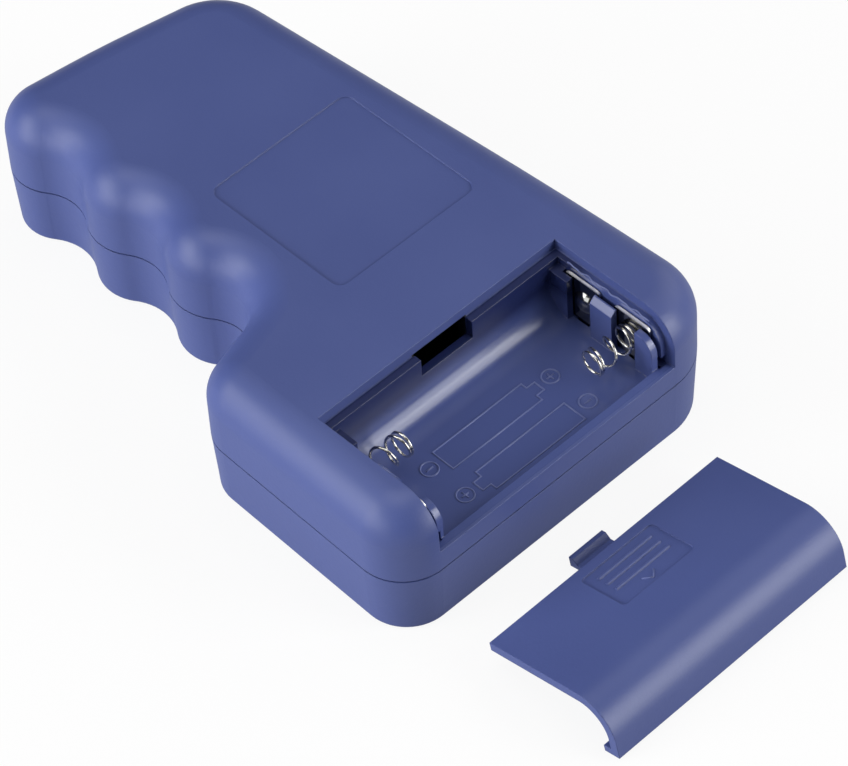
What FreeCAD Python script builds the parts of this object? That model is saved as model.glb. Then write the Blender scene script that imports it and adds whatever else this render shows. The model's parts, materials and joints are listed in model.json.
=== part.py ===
"""Hand-held tester that runs on two slim cells, lying on its face with the battery door taken off.

Millimetres. +Z goes up through the back of the housing, +X to the straight thumb side and +Y along the
finger grip. The origin is on the flat front face, near the middle of the housing.
"""
import FreeCAD, Part
import math
import os

# Housing: two shells that meet at a parting line
housing_depth = 27.5
parting_height = 12.7
wall = 2.0
back_edge_radius = 7.0
front_edge_radius = 0.8
front_draft_deg = 2.9
tongue_height = 1.5
tongue_gap = 0.15
parting_groove = 0.35

# Outline of the housing seen from the back: square corners first, each with its own radius
head_end_y = -59.15
head_left_x = -37.7
head_left_radius = 8.7
head_right_x = 36.15
head_right_radius = 15.0
thumb_bow_x = 34.85
thumb_bow_y = -25.3
thumb_bow_radius = 1500.0
tip_x = 28.95
tip_y = 53.2
tip_radius = 12.4
tip_bow_x = 4.0
tip_bow_y = 58.2
tip_bow_radius = 200.0
tip_slope_deg = 7.4
shoulder_x = -36.3
shoulder_y = -10.6
shoulder_radius = 8.0
shoulder_slope_deg = 15.4
armpit_radius = 8.2

# Finger grip: three ridges, drawn as a wave of tangent arcs
grip_first_ridge_y = 52.4
grip_pitch = 20.45
grip_depth = 3.1
grip_middle_x = -18.05
grip_lean_deg = 0.53
grip_end_radius = 8.1

# Shallow plain field on the back
field_x = 7.65
field_y = 0.7
field_width = 30.9
field_length = 31.2
field_corner_radius = 2.0
field_depth = 0.25

# Battery door: a piece of the back and of the end wall that lifts off
door_middle_x = -2.8
door_width = 52.0
door_length = 26.5
door_thickness = 1.6
door_gap = 0.3
lip_rise = 4.3
latch_width = 7.6
latch_reach = 5.4
latch_drop = 4.0
latch_thickness = 0.9
latch_lip_rise = 1.0
hook_width = 1.4
hook_reach = 1.6
hook_height = 1.2
latch_offset = 0.4
pad_width = 16.1
pad_length = 9.9
pad_inset = 2.0
pad_depth = 0.3
pad_corner_radius = 0.8
rib_length = 12.1
rib_width = 0.6
rib_height = 0.35
rib_pitch = 2.0
rib_count = 3
rib_inset = 4.0

# Where the door lies: pushed off past the end of the housing and turned a little
door_shift_x = -1.3
door_shift_y = -37.5
door_turn_deg = 0.5

# Battery bay, with its rows of cells across the housing
bay_length = 50.8
bay_middle_x = -3.1
bay_width = 23.25
bay_ledge = 1.8
bay_depth = 10.6
cell_pitch = 11.0
bay_floor = 1.5
bay_wall = 1.5
bay_scoop_radius = 5.5
lip_thickness = 1.95
latch_slot_width = 11.3
latch_slot_height = 3.8
latch_sill = 1.5
latch_hole_height = 7.5
ledge_step_width = 0.45
ledge_step_depth = 0.15
guide_depth = 2.1
guide_top_drop = 1.5
lip_guide_drop = 0.5
lip_guide_round = 3.2
divider_chamfer = 1.0
contact_slot = 0.8

# Battery contacts, stamped from thin plate, and their coil springs
plate_thickness = 0.4
plate_width = 8.2
plate_height = 9.4
plate_corner_radius = 1.2
plate_seat = 0.2
dimple_diameter = 4.6
dimple_rise = 1.1
tail_width = 2.4
spring_seat = 0.05
spring_wire = 0.55
spring_base_diameter = 4.9
spring_tip_diameter = 4.7
spring_length = 8.9
spring_turns = 5.0
spring_play = 0.15
contact_offset = 0.5

# Circuit board on four bosses of the front shell
board_height = 8.0
board_thickness = 1.6
board_margin = 3.3
boss_diameter = 5.5
boss_places = ((-29.0, -48.0), (27.0, -48.0), (20.0, 40.0), (-8.0, 42.0))
screw_diameter = 2.0
screw_head_diameter = 3.8
screw_head_height = 1.4
screw_head_round = 0.55
screw_cross_length = 2.3
screw_cross_width = 0.5
screw_cross_depth = 0.7
screw_length = 6.0
screw_play = 0.1

# Push buttons on the front and the switches behind them
button_places = (("read", 8.0, -6.0), ("write", 8.0, -26.0))
button_length = 13.0
button_width = 9.0
button_recess = 0.4
button_gap = 0.3
button_flange = 1.2
button_flange_height = 0.9
button_travel = 0.4
key_size = 6.0
key_height = 3.5
key_corner_radius = 0.5
plunger_diameter = 3.4
plunger_length = 1.6
plunger_rise = 0.8
plunger_play = 0.1

# Indicator lamps
lamp_places = (("power", -2.0, 14.0), ("busy", 8.0, 14.0), ("pass", 18.0, 14.0))
lamp_diameter = 3.0
lamp_flange_diameter = 3.8
lamp_flange_height = 1.0
lamp_length = 5.3
lamp_recess = 0.5
lamp_gap = 0.15
lamp_lead = 0.35
lamp_lead_hole = 0.8
lamp_lead_pitch = 2.54

# Power switch on the thumb side
slider_y = 24.0
slider_length = 8.6
slider_depth = 4.4
slider_height = 4.7
slider_room = 0.6
lever_width = 2.0
lever_height = 1.4
lever_travel = 2.0
lever_proud = 0.6
lever_gap = 0.3
lever_root = 1.2
lever_chamfer = 0.25

# Sensing coil under the plain field, with its locating ring
coil_outer_diameter = 32.0
coil_inner_diameter = 26.0
coil_height = 4.0
coil_edge_radius = 0.8
coil_play = 0.3
locator_wall = 1.2
locator_height = 3.0
coil_lead_diameter = 0.7
coil_lead_spacing = 4.0

# Parts on top of the board
controller_place = (4.0, -15.0)
controller_size = (12.8, 7.5, 2.0)
controller_pin_count = 10
reader_chip_place = (22.0, -14.0)
reader_chip_size = (9.9, 3.9, 1.5)
reader_chip_pin_count = 8
chip_chamfer = 0.25
pin_pitch = 1.27
pin_width = 0.4
pin_reach = 1.2
pin_height = 0.8
crystal_place = (-14.0, -14.0)
crystal_size = (11.0, 4.7, 3.4)
crystal_rim = 0.35
crystal_rim_height = 0.5
crystal_edge_radius = 0.5
capacitor_places = ((-24.0, -22.0), (-16.0, -24.0))
capacitor_diameter = 6.3
capacitor_height = 7.5
capacitor_base = 0.8
capacitor_edge_radius = 0.4
sounder_place = (8.0, 36.0)
sounder_diameter = 12.0
sounder_height = 8.5
sounder_hole = 2.0
sounder_hole_depth = 3.0
sounder_edge_radius = 0.5
chip_part_size = (2.0, 1.25, 0.6)
chip_part_pitch = 3.6
chip_part_rows = ((-6.0, 4.0), (-6.0, -6.0), (14.0, 22.0), (14.0, 8.0))
chip_part_count = 3
battery_lead_diameter = 1.0
battery_lead_run = 2.0
battery_lead_seat = 0.05

# Places that follow from the sizes above
front_floor = wall
board_top = board_height + board_thickness
back_inside = housing_depth - wall
seat_depth = door_thickness + door_gap
seat_floor = housing_depth - seat_depth
seat_y = head_end_y + door_length + door_gap
seat_left = door_middle_x - door_width / 2 - door_gap
seat_right = door_middle_x + door_width / 2 + door_gap
lip_z = parting_height + lip_rise
bay_top_y = seat_y - bay_ledge
bay_low_y = bay_top_y - bay_width
bay_left = bay_middle_x - bay_length / 2
bay_right = bay_middle_x + bay_length / 2
bay_z = seat_floor - bay_depth
divider_y = bay_top_y - bay_width / 2
upper_row_y = divider_y + cell_pitch / 2
lower_row_y = divider_y - cell_pitch / 2
upper_axis_y = upper_row_y - contact_offset
lower_axis_y = lower_row_y + contact_offset
guide_window = spring_base_diameter / 2 + spring_play
cell_axis_z = bay_z + plate_seat + plate_height / 2
battery_lead_z = (bay_z - bay_floor + board_top) / 2
latch_middle_x = door_middle_x + latch_offset
overcut = 1.0
bend_share = 0.45


def meet(p, q, r, s):
    """Point where the line through p and q crosses the line through r and s."""
    ax, ay = q[0] - p[0], q[1] - p[1]
    bx, by = s[0] - r[0], s[1] - r[1]
    along = ((r[0] - p[0]) * by - (r[1] - p[1]) * bx) / (ax * by - ay * bx)
    return p[0] + along * ax, p[1] + along * ay


def beyond(point, angle_deg):
    """A second point on the line that leaves a point at an angle."""
    return point[0] + math.cos(math.radians(angle_deg)), point[1] + math.sin(math.radians(angle_deg))


def housing_corners():
    """Corners (x, y, radius) of the housing, anticlockwise from the head's left end."""
    half_pitch = grip_pitch / 2
    radius = ((grip_pitch / 4) ** 2 + (grip_depth / 2) ** 2) / grip_depth
    zigzag = grip_pitch / 4 * math.tan(math.asin(grip_pitch / 4 / radius))
    lean = math.tan(math.radians(grip_lean_deg))

    def wave_corner(step):
        side = -1 if step % 2 == 0 else 1
        y = grip_first_ridge_y - step * half_pitch
        return grip_middle_x + side * zigzag + (y - grip_first_ridge_y) * lean, y

    tip_bow = (tip_bow_x, tip_bow_y)
    shoulder = (shoulder_x, shoulder_y)
    grip_end = meet(tip_bow, beyond(tip_bow, 180 - tip_slope_deg), wave_corner(0), wave_corner(1))
    armpit = meet(shoulder, beyond(shoulder, shoulder_slope_deg), wave_corner(4), wave_corner(5))
    corners = [
        (head_left_x, head_end_y, head_left_radius),
        (head_right_x, head_end_y, head_right_radius),
        (thumb_bow_x, thumb_bow_y, thumb_bow_radius),
        (tip_x, tip_y, tip_radius),
        (*tip_bow, tip_bow_radius),
        (*grip_end, grip_end_radius),
    ]
    corners += [(*wave_corner(step), radius) for step in range(1, 5)]
    corners += [(*armpit, armpit_radius), (*shoulder, shoulder_radius)]
    return corners


def side_directions(corners, index):
    """Unit vectors from a corner to the one before it and to the one after it."""
    here = FreeCAD.Vector(*corners[index][:2], 0)
    before = FreeCAD.Vector(*corners[index - 1][:2], 0) - here
    after = FreeCAD.Vector(*corners[(index + 1) % len(corners)][:2], 0) - here
    return before.normalize(), after.normalize()


def inset(corners, distance):
    """The same outline moved inwards: sides stay parallel and every arc keeps its centre."""
    moved = []
    for index, (x, y, radius) in enumerate(corners):
        before, after = side_directions(corners, index)
        normal_in = FreeCAD.Vector(before.y, -before.x, 0)
        normal_out = FreeCAD.Vector(-after.y, after.x, 0)
        step = (normal_in + normal_out) * (distance / (1 + normal_in.dot(normal_out)))
        convex = before.cross(after).z < 0
        moved.append((x + step.x, y + step.y, radius - distance if convex else radius + distance))
    return moved


def outline_wire(corners, z):
    """Closed wire of straight sides and tangent arcs. An arc is limited by the sides it joins."""
    count = len(corners)
    points = [FreeCAD.Vector(x, y, z) for x, y, _ in corners]
    directions = [side_directions(corners, index) for index in range(count)]
    halves = [math.acos(max(-1.0, min(1.0, a.dot(b)))) / 2 for a, b in directions]
    wanted = [corners[index][2] / math.tan(halves[index]) for index in range(count)]
    share = [1.0] * count
    for index in range(count):
        following = (index + 1) % count
        side = points[index].distanceToPoint(points[following])
        fit = min(1.0, side / (wanted[index] + wanted[following]))
        share[index] = min(share[index], fit)
        share[following] = min(share[following], fit)
    edges = []
    first_start = None
    last_end = None
    for index in range(count):
        before, after = directions[index]
        reach = wanted[index] * share[index]
        radius = reach * math.tan(halves[index])
        start = points[index] + before * reach
        end = points[index] + after * reach
        crown = points[index] + (before + after).normalize() * (radius / math.sin(halves[index]) - radius)
        if last_end is None:
            first_start = start
        elif last_end.distanceToPoint(start) > 1e-6:
            edges.append(Part.LineSegment(last_end, start).toShape())
        edges.append(Part.Arc(start, crown, end).toShape())
        last_end = end
    if last_end.distanceToPoint(first_start) > 1e-6:
        edges.append(Part.LineSegment(last_end, first_start).toShape())
    return Part.Wire(Part.__sortEdges__(edges))


def prism(corners, z0, z1):
    """Upright block over an outline."""
    return Part.Face(outline_wire(corners, z0)).extrude(FreeCAD.Vector(0, 0, z1 - z0))


def drafted(low_corners, z0, high_corners, z1):
    """Block with straight sloping sides between two outlines."""
    return Part.makeLoft([outline_wire(low_corners, z0), outline_wire(high_corners, z1)], True, True)


def rim(solid, z):
    """Edges of a solid that lie in a level plane."""
    return [edge for edge in solid.Edges if abs(edge.BoundBox.ZMin - z) + abs(edge.BoundBox.ZMax - z) < 1e-5]


def soft_block(corners, z0, z1, radius, rim_z):
    """Upright block over an outline, with one rim rounded over."""
    solid = prism(corners, z0, z1)
    return solid.makeFillet(radius, rim(solid, rim_z))


def box(x0, x1, y0, y1, z0, z1):
    """Block between two corners."""
    return Part.makeBox(x1 - x0, y1 - y0, z1 - z0, FreeCAD.Vector(x0, y0, z0))


def post(x, y, z0, z1, diameter):
    """Upright round bar."""
    return Part.makeCylinder(diameter / 2, z1 - z0, FreeCAD.Vector(x, y, z0))


def rounded_slab(x, y, width, length, radius, z0, z1):
    """Flat block with rounded corners, centred on a point."""
    corners = [
        (x - width / 2, y - length / 2, radius),
        (x + width / 2, y - length / 2, radius),
        (x + width / 2, y + length / 2, radius),
        (x - width / 2, y + length / 2, radius),
    ]
    return prism(corners, z0, z1)


def sheet_profile(points, depth):
    """Flat outline of straight lines, pushed along a depth vector."""
    return Part.Face(Part.makePolygon(points + points[:1])).extrude(depth)


def round_lead(points, diameter):
    """Insulated wire along straight runs joined by tangent arcs."""
    path = []
    here = points[0]
    for before, corner, after in zip(points, points[1:], points[2:]):
        back = (before - corner).normalize()
        ahead = (after - corner).normalize()
        reach = bend_share * min((before - corner).Length, (after - corner).Length)
        half = math.acos(back.dot(ahead)) / 2
        crown_reach = reach / math.cos(half) - reach * math.tan(half)
        start = corner + back * reach
        end = corner + ahead * reach
        path.append(Part.LineSegment(here, start).toShape())
        path.append(Part.Arc(start, corner + (back + ahead).normalize() * crown_reach, end).toShape())
        here = end
    path.append(Part.LineSegment(here, points[-1]).toShape())
    section = Part.Wire([Part.Circle(points[0], points[1] - points[0], diameter / 2).toShape()])
    return Part.Wire(path).makePipeShell([section], True, True)


outline = housing_corners()
outer_block = soft_block(outline, 0, housing_depth, back_edge_radius, housing_depth)


def front_inset(z):
    """How far the drafted front shell stands back from the parting line at a height."""
    return (parting_height - z) * math.tan(math.radians(front_draft_deg))


def thumb_side_x(y, z):
    """Outer face of the straight thumb side of the front shell."""
    share = (y - thumb_bow_y) / (tip_y - thumb_bow_y)
    return thumb_bow_x + share * (tip_x - thumb_bow_x) - front_inset(z)


def skin_inside(depth):
    """Block that lies a depth below the skin of the housing."""
    top = housing_depth - depth
    return soft_block(inset(outline, depth), 0, top, back_edge_radius - depth, top)


def bay_space():
    """Room for the cells: an upright latch side that curves into a flat floor, open through the end wall."""
    x = bay_left
    scoop_y = bay_top_y - bay_scoop_radius
    scoop_z = bay_z + bay_scoop_radius
    lean = bay_scoop_radius * math.sqrt(0.5)
    top_z = housing_depth + overcut
    inner_low_y = head_end_y + lip_thickness
    corners = {
        "top": FreeCAD.Vector(x, bay_top_y, top_z),
        "scoop_top": FreeCAD.Vector(x, bay_top_y, scoop_z),
        "scoop_low": FreeCAD.Vector(x, scoop_y, bay_z),
        "foot": FreeCAD.Vector(x, inner_low_y, bay_z),
        "lip": FreeCAD.Vector(x, inner_low_y, lip_z),
        "out": FreeCAD.Vector(x, head_end_y - overcut, lip_z),
        "out_top": FreeCAD.Vector(x, head_end_y - overcut, top_z),
    }
    scoop_middle = FreeCAD.Vector(x, scoop_y + lean, scoop_z - lean)
    straight = ["scoop_low", "foot", "lip", "out", "out_top", "top", "scoop_top"]
    edges = [Part.LineSegment(corners[a], corners[b]).toShape() for a, b in zip(straight, straight[1:])]
    edges.append(Part.Arc(corners["scoop_top"], scoop_middle, corners["scoop_low"]).toShape())
    return Part.Face(Part.Wire(Part.__sortEdges__(edges))).extrude(FreeCAD.Vector(bay_length, 0, 0))


def end_guides(face_x, wall_x):
    """Divider and the two guides that hold the contact plates against one end of the bay."""
    x0, x1 = min(face_x, wall_x), max(face_x, wall_x)
    top = seat_floor - guide_top_drop
    divider = box(x0, x1, lower_axis_y + guide_window, upper_axis_y - guide_window, bay_z, top)
    front_edge = [
        edge for edge in rim(divider, top)
        if abs(edge.BoundBox.XMin - face_x) + abs(edge.BoundBox.XMax - face_x) < 1e-6
    ]
    divider = divider.makeChamfer(divider_chamfer, front_edge)
    latch_guide = box(x0, x1, upper_axis_y + guide_window, bay_top_y, bay_z, top)
    lip_guide_low = head_end_y + lip_thickness
    lip_guide_high = lower_axis_y - guide_window
    lip_guide_top = top - lip_guide_drop
    lip_guide = box(x0, x1, lip_guide_low, lip_guide_high, bay_z, lip_guide_top)
    outer_edge = [edge for edge in rim(lip_guide, lip_guide_top) if edge.BoundBox.YMax < lip_guide_low + 1e-6]
    round_limit = lip_guide_high - lip_guide_low - plate_seat
    lip_guide = lip_guide.makeFillet(min(lip_guide_round, round_limit), outer_edge)
    return divider.fuse([latch_guide, lip_guide])


def contact_slot_space(wall_x, inwards, tail_rows):
    """Slot for the contact plates beside an end wall, with holes in the floor for their tails."""
    x0, x1 = sorted((wall_x, wall_x + inwards * contact_slot))
    slot = box(x0, x1, head_end_y + lip_thickness, upper_plate[1] + plate_seat, bay_z, seat_floor)
    hole_half = tail_width / 2 + plate_seat
    hole_low = bay_z - bay_floor - overcut
    for tail_y in tail_rows:
        slot = slot.fuse(box(x0, x1, tail_y - hole_half, tail_y + hole_half, hole_low, bay_z + overcut))
    return slot


def latch_slot_space():
    """Notch in the ledge for the door's latch, with a sill in front of the hole that it snaps into."""
    x0 = door_middle_x - latch_slot_width / 2
    x1 = door_middle_x + latch_slot_width / 2
    back_y = seat_y + bay_wall + overcut
    notch = box(x0, x1, bay_top_y - overcut, back_y, seat_floor - latch_slot_height, seat_floor)
    hole = box(x0, x1, bay_top_y + latch_sill, back_y, seat_floor - latch_hole_height, seat_floor)
    return notch.fuse(hole)


def build_rear_shell():
    """Back half of the housing: skin, battery bay, door seat, coil ring and the rebate for the tongue."""
    bounds = outer_block.BoundBox
    body = outer_block.common(
        box(bounds.XMin, bounds.XMax, bounds.YMin, bounds.YMax, parting_height, housing_depth)
    )
    body = body.cut(skin_inside(wall))
    bay = box(
        seat_left - bay_wall, seat_right + bay_wall, head_end_y, seat_y + bay_wall,
        bay_z - bay_floor, housing_depth,
    )
    body = body.fuse(bay.common(skin_inside(wall / 2)))
    rebate_low = parting_height - overcut
    rebate_top = parting_height + tongue_height + tongue_gap
    rebate = prism(inset(outline, wall / 2), rebate_low, rebate_top)
    body = body.cut(rebate.cut(prism(inset(outline, wall + tongue_gap), rebate_low, rebate_top)))
    seat = box(seat_left, seat_right, head_end_y - overcut, seat_y, lip_z, housing_depth + overcut)
    body = body.cut(seat.cut(skin_inside(seat_depth)))
    body = body.cut(bay_space())
    body = body.fuse(end_guides(bay_right - guide_depth, bay_right))
    body = body.fuse(end_guides(bay_left + guide_depth, bay_left))
    body = body.cut(contact_slot_space(bay_right, -1, (upper_row_y, lower_row_y)))
    body = body.cut(contact_slot_space(bay_left, 1, ()))
    body = body.cut(latch_slot_space())
    step_y = seat_y - ledge_step_width
    body = body.cut(box(seat_left, seat_right, step_y, seat_y, seat_floor - ledge_step_depth, seat_floor))
    for hook_x in (seat_left, seat_right - hook_width - 2 * door_gap):
        body = body.cut(
            box(hook_x, hook_x + hook_width + 2 * door_gap, head_end_y + seat_depth - door_gap,
                head_end_y + seat_depth + hook_reach + door_gap, lip_z - door_gap,
                lip_z + hook_height + 2 * door_gap)
        )
    body = body.cut(
        rounded_slab(field_x, field_y, field_width, field_length, field_corner_radius,
                     housing_depth - field_depth, housing_depth + overcut)
    )
    ring_diameter = coil_inner_diameter - 2 * coil_play
    ring = post(field_x, field_y, back_inside - locator_height, back_inside + wall / 2, ring_diameter)
    bore = post(field_x, field_y, back_inside - locator_height - overcut, back_inside,
                ring_diameter - 2 * locator_wall)
    return body.fuse(ring.cut(bore)).removeSplitter()


def button_slab(x, y, grow, z0, z1):
    """Oval block of a push button, grown evenly on every side."""
    width = button_width + 2 * grow
    return rounded_slab(x, y, button_length + 2 * grow, width, width / 2, z0, z1)


def build_front_shell():
    """Front half of the housing: flat face, board bosses, button and lamp holes, and the tongue."""
    body = drafted(inset(outline, front_inset(0)), 0, outline, parting_height)
    body = body.makeFillet(front_edge_radius, rim(body, 0))
    tongue_outline = inset(outline, wall / 2 + tongue_gap)
    body = body.fuse(prism(tongue_outline, parting_height - wall, parting_height + tongue_height))
    groove_low = parting_height - parting_groove
    groove = prism(inset(outline, -overcut), groove_low, parting_height)
    body = body.cut(groove.cut(prism(inset(outline, parting_groove), groove_low, parting_height)))
    cavity_low = inset(outline, wall + front_inset(front_floor))
    cavity_high = inset(outline, wall)
    body = body.cut(drafted(cavity_low, front_floor, cavity_high, parting_height))
    body = body.cut(prism(cavity_high, parting_height, parting_height + tongue_height + overcut))
    for x, y in boss_places:
        body = body.fuse(post(x, y, front_floor / 2, board_height, boss_diameter))
        hole_z = board_height - screw_length + board_thickness - overcut
        body = body.cut(post(x, y, hole_z, board_height + overcut, screw_diameter + 2 * screw_play))
    for _, x, y in button_places:
        body = body.cut(button_slab(x, y, button_gap, -overcut, front_floor + overcut))
    for _, x, y in lamp_places:
        body = body.cut(post(x, y, -overcut, front_floor + overcut, lamp_diameter + 2 * lamp_gap))
    outside = thumb_side_x(slider_y, parting_height)
    slot_half = (lever_width + lever_travel) / 2 + lever_gap
    lever_z = board_height - slider_height / 2
    body = body.cut(
        box(slider_face_x() + slider_room / 2, outside + overcut, slider_y - slot_half, slider_y + slot_half,
            lever_z - lever_height / 2 - lever_gap, lever_z + lever_height / 2 + lever_gap)
    )
    return body.removeSplitter()


def build_battery_door():
    """Door cut from the skin of the housing, with its latch, hooks and ribbed thumb pad, still closed."""
    left = door_middle_x - door_width / 2
    right = door_middle_x + door_width / 2
    latch_y = head_end_y + door_length
    low_z = lip_z + door_gap
    under = housing_depth - door_thickness
    door = outer_block.common(box(left, right, head_end_y - overcut, latch_y, low_z, housing_depth + overcut))
    door = door.cut(skin_inside(door_thickness))
    deep = housing_depth - latch_drop
    lip_top = deep + latch_thickness + latch_lip_rise
    latch_left = latch_middle_x - latch_width / 2
    root_y = latch_y - latch_thickness
    tip_y_edge = latch_y + latch_reach
    hook_profile = [
        (root_y - latch_thickness, under + door_thickness / 2),
        (root_y - latch_thickness, deep),
        (tip_y_edge, deep),
        (tip_y_edge, lip_top),
        (tip_y_edge - latch_thickness, lip_top),
        (tip_y_edge - 2 * latch_thickness, deep + latch_thickness),
        (root_y, deep + latch_thickness),
        (root_y, under + door_thickness / 2),
    ]
    latch = sheet_profile([FreeCAD.Vector(latch_left, y, z) for y, z in hook_profile],
                          FreeCAD.Vector(latch_width, 0, 0))
    door = door.fuse(latch)
    inner_y = head_end_y + door_thickness
    for hook_x in (left, right - hook_width):
        door = door.fuse(
            box(hook_x, hook_x + hook_width, inner_y - door_thickness / 2, inner_y + hook_reach,
                low_z, low_z + hook_height)
        )
    pad_y = latch_y - pad_inset - pad_length / 2
    door = door.cut(
        rounded_slab(latch_middle_x, pad_y, pad_width, pad_length, pad_corner_radius,
                     housing_depth - pad_depth, housing_depth + overcut)
    )
    for step in range(rib_count):
        rib_y = latch_y - rib_inset - step * rib_pitch
        bar = Part.makeCylinder(
            rib_width / 2, rib_length, FreeCAD.Vector(latch_middle_x - rib_length / 2, rib_y, 0),
            FreeCAD.Vector(1, 0, 0),
        )
        bar.translate(FreeCAD.Vector(0, 0, housing_depth - pad_depth + rib_height - rib_width / 2))
        door = door.fuse(bar)
    return door.removeSplitter()


def lay_door_down(door):
    """Door turned onto the table: it stands on its latch and on its hooks, beside the end of the housing."""
    latch_y = head_end_y + door_length
    latch_foot = (latch_reach, -latch_drop)
    hook_foot = (door_thickness + hook_reach - door_length, lip_z + door_gap - housing_depth)
    tilt = math.atan2(latch_foot[1] - hook_foot[1], latch_foot[0] - hook_foot[0])
    door = door.copy()
    pivot = FreeCAD.Vector(door_middle_x, latch_y, housing_depth)
    door.rotate(pivot, FreeCAD.Vector(1, 0, 0), -math.degrees(tilt))
    foot_drop = latch_foot[1] * math.cos(tilt) - latch_foot[0] * math.sin(tilt)
    door.translate(FreeCAD.Vector(door_shift_x, door_shift_y, -housing_depth - foot_drop))
    door.rotate(pivot + FreeCAD.Vector(door_shift_x, door_shift_y, 0), FreeCAD.Vector(0, 0, 1), door_turn_deg)
    return door


def contact_plate(x, y_low, y_high):
    """Thin upright plate with rounded top corners, standing across the end of the bay."""
    z0 = bay_z + plate_seat
    plate = box(x, x + plate_thickness, y_low, y_high, z0, z0 + plate_height)
    top_corners = [
        edge for edge in plate.Edges
        if edge.BoundBox.XLength > plate_thickness / 2 and edge.BoundBox.ZMin > z0 + plate_height / 2
    ]
    return plate.makeFillet(plate_corner_radius, top_corners)


def dimple(face_x, outwards, y):
    """Low dome pressed out of a plate, where a cell's button end touches."""
    half = dimple_diameter / 2
    radius = (half ** 2 + dimple_rise ** 2) / (2 * dimple_rise)
    centre = FreeCAD.Vector(face_x + outwards * (dimple_rise - radius), y, cell_axis_z)
    ball = Part.makeSphere(radius, centre)
    x0, x1 = sorted((face_x - outwards * plate_thickness / 2, face_x + outwards * 2 * dimple_rise))
    return ball.common(box(x0, x1, y - half, y + half, cell_axis_z - half, cell_axis_z + half))


def contact_tail(x, y):
    """Strip below a plate that passes through the bay floor to its lead."""
    return box(x, x + plate_thickness, y - tail_width / 2, y + tail_width / 2,
               battery_lead_z - battery_lead_diameter / 2, bay_z + plate_seat + overcut)


def coil_spring(face_x, outwards, y):
    """Tapered compression spring that stands on a plate and points along the bay."""
    base = (spring_base_diameter - spring_wire) / 2
    tip = (spring_tip_diameter - spring_wire) / 2
    rise = spring_length - spring_wire
    taper = math.degrees(math.atan2(tip - base, rise))
    helix = Part.makeHelix(rise / spring_turns, rise, base, taper)
    climb = FreeCAD.Vector(0, 2 * math.pi * base, rise / spring_turns)
    section = Part.Wire([Part.Circle(FreeCAD.Vector(base, 0, 0), climb, spring_wire / 2).toShape()])
    spring = Part.Wire(helix.Edges).makePipeShell([section], True, True)
    spring.rotate(FreeCAD.Vector(0, 0, 0), FreeCAD.Vector(0, 1, 0), 90 * outwards)
    spring.translate(FreeCAD.Vector(face_x + outwards * (spring_wire / 2 + spring_seat), y, cell_axis_z))
    return spring


upper_plate = (upper_row_y - plate_width / 2, upper_row_y + plate_width / 2)
lower_plate = (lower_row_y - plate_width / 2, lower_row_y + plate_width / 2)
right_plate_x = bay_right - contact_slot / 2 - plate_thickness / 2
left_plate_x = bay_left + contact_slot / 2 - plate_thickness / 2


def build_contacts():
    """Plates and springs: two single plates at the thumb end, one bridge between the rows at the other."""
    positive = contact_plate(right_plate_x, *upper_plate)
    positive = positive.fuse(dimple(right_plate_x, -1, upper_axis_y))
    positive = positive.fuse(contact_tail(right_plate_x, upper_row_y))
    negative = contact_plate(right_plate_x, *lower_plate).fuse(contact_tail(right_plate_x, lower_row_y))
    bridge_face = left_plate_x + plate_thickness
    bridge = contact_plate(left_plate_x, lower_plate[0], upper_plate[1])
    bridge = bridge.fuse(dimple(bridge_face, 1, lower_axis_y))
    return {
        "positive_contact": positive.removeSplitter(),
        "negative_contact": negative.removeSplitter(),
        "bridge_contact": bridge.removeSplitter(),
        "negative_spring": coil_spring(right_plate_x, -1, lower_axis_y),
        "bridge_spring": coil_spring(bridge_face, 1, upper_axis_y),
    }


def build_board():
    """Circuit board that follows the inside of the housing, with its screw and lead holes."""
    board = prism(inset(outline, board_margin), board_height, board_top)
    for x, y in boss_places:
        board = board.cut(post(x, y, 0, housing_depth, screw_diameter + 2 * screw_play))
    for _, x, y in lamp_places:
        for side in (-1, 1):
            lead_x = x + side * lamp_lead_pitch / 2
            board = board.cut(post(lead_x, y, 0, housing_depth, lamp_lead_hole))
    return board


def build_screws():
    """Pan-head screws that hold the board on its bosses."""
    screws = []
    for x, y in boss_places:
        head_top = board_top + screw_head_height
        head = post(x, y, board_top, head_top, screw_head_diameter)
        head = head.makeFillet(screw_head_round, rim(head, head_top))
        shank = post(x, y, board_top - screw_length, board_top + screw_head_height / 2, screw_diameter)
        cross = box(x - screw_cross_length / 2, x + screw_cross_length / 2,
                    y - screw_cross_width / 2, y + screw_cross_width / 2,
                    head_top - screw_cross_depth, head_top + overcut)
        screw = head.fuse(shank).cut(cross)
        cross.rotate(FreeCAD.Vector(x, y, 0), FreeCAD.Vector(0, 0, 1), 90)
        screws.append(screw.cut(cross))
    return Part.makeCompound(screws)


def build_button(x, y):
    """Push button: oval cap in the front face, with a flange inside and a stem up to its switch."""
    flange_z = front_floor + button_gap
    flange_top = flange_z + button_flange_height
    cap = button_slab(x, y, 0, button_recess, flange_top)
    cap = cap.makeFillet(button_recess, rim(cap, button_recess))
    flange = button_slab(x, y, button_flange, flange_z, flange_top)
    stem = post(x, y, flange_z, board_height - key_height - plunger_rise, plunger_diameter)
    return cap.fuse([flange, stem]).removeSplitter()


def build_key(x, y):
    """Tactile switch body under the board, with the bore for its plunger."""
    half = key_size / 2
    body = box(x - half, x + half, y - half, y + half, board_height - key_height, board_height)
    upright = [edge for edge in body.Edges if edge.BoundBox.ZLength > key_height / 2]
    body = body.makeFillet(key_corner_radius, upright)
    deep = plunger_length - plunger_rise + button_travel + 2 * plunger_play
    low = board_height - key_height
    return body.cut(post(x, y, low - overcut, low + deep, plunger_diameter + 2 * plunger_play))


def build_plunger(x, y):
    """Plunger of a tactile switch, standing on the button's stem."""
    low = board_height - key_height - plunger_rise
    plunger = post(x, y, low, low + plunger_length, plunger_diameter)
    return plunger.makeChamfer(plunger_play, rim(plunger, low + plunger_length))


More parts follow.
